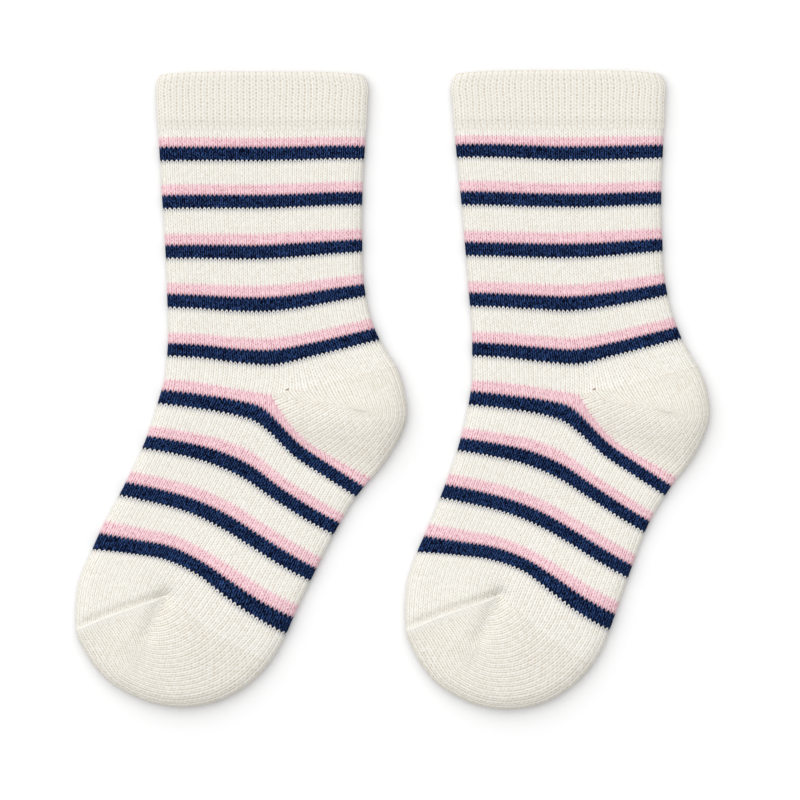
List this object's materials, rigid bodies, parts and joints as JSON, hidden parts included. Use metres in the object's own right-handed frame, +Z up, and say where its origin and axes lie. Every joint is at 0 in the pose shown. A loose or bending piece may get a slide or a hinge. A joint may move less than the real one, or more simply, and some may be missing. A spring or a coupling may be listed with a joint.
{
  "type": "pair of crew socks",
  "caption": "Striped knitted crew socks for a small child, laid flat side by side, each with a welt cuff, a pocket heel and a pocket toe",
  "frame": {"origin": "The middle of the pair at the level of the surface that it lies on, under the centre of its box.", "axes": "+X from the shin fold to the heel fold of a sock, across the pair; +Y from the toes towards the cuffs; +Z up, away from the surface."},
  "size_m": [0.1968, 0.198, 0.008],
  "materials": {
    "plain_knit": "matt fine cotton knit, cream",
    "striped_knit": "matt fine cotton knit, cream with pink and navy stripes"
  },
  "bodies": {
    "root": {"sock_1_cuff": "plain_knit", "sock_1_leg": "striped_knit", "sock_1_heel": "plain_knit", "sock_1_foot": "striped_knit", "sock_1_toe": "plain_knit", "sock_2_cuff": "plain_knit", "sock_2_leg": "striped_knit", "sock_2_heel": "plain_knit", "sock_2_foot": "striped_knit", "sock_2_toe": "plain_knit"}
  },
  "joints": []
}
